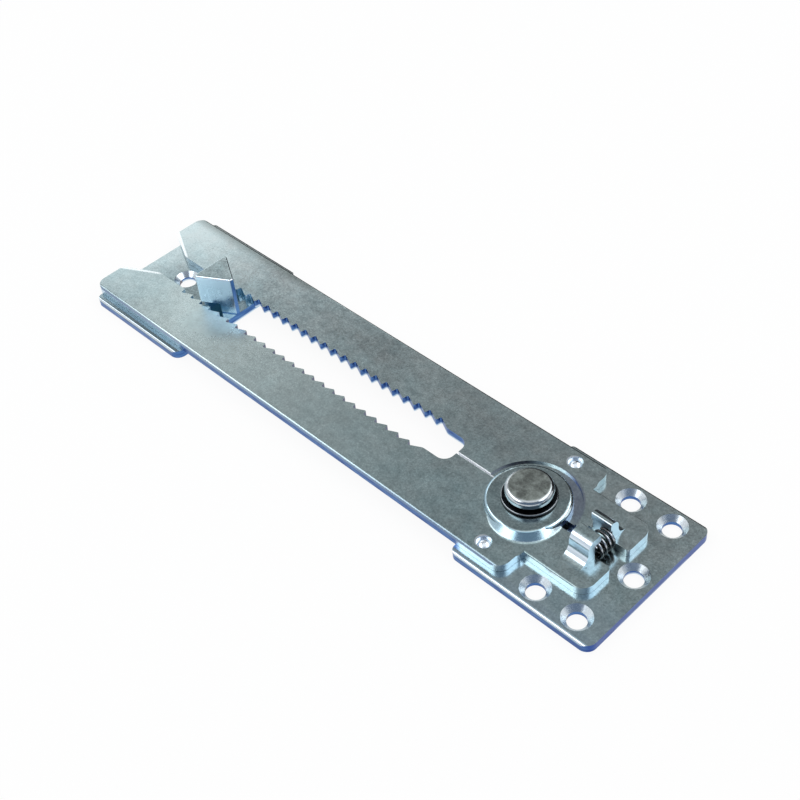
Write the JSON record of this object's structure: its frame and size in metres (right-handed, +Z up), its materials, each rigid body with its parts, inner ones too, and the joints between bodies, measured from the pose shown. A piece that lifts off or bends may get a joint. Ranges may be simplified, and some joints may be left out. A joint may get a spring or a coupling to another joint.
{
  "type": "sofa connector bracket",
  "caption": "Screw-down sofa connector: flat base plate with an upright wedge post, and two toothed jaws sprung shut on a rivet to grip a mating post.",
  "frame": {"origin": "centre of the overall length and width, on the underside of the base plate", "axes": "+X along the length from the mouth of the jaws to the screw end, +Y across the width, +Z up out of the mounting face"},
  "size_m": [0.2064, 0.05, 0.0164],
  "materials": {
    "base_zinc": "bright zinc plate, satin",
    "jaw_zinc": "bright zinc plate, satin",
    "rivet_steel": "satin",
    "washer_steel": "satin",
    "spring_steel": "oiled dark"
  },
  "bodies": {
    "base": {"base_plate": "base_zinc", "pivot_rivet": "rivet_steel", "washer": "washer_steel", "compression_spring": "spring_steel"},
    "left": {"left_jaw": "jaw_zinc"},
    "right": {"right_jaw": "jaw_zinc"}
  },
  "joints": [
    {"name": "left_jaw_pivot", "type": "hinge", "parent": "base", "child": "left", "pos_m": [0.0627, 0, 0.006], "axis": [0, 0, 1], "range_deg": [0, 2.5], "stiffness_Nm_per_rad": 1.2, "springref_deg": -4.01, "deforming": ["compression_spring"]},
    {"name": "right_jaw_pivot", "type": "hinge", "parent": "base", "child": "right", "pos_m": [0.0627, 0, 0.004], "axis": [0, 0, -1], "range_deg": [0, 2.5], "stiffness_Nm_per_rad": 1.2, "springref_deg": -4.01, "deforming": ["compression_spring"]}
  ]
}
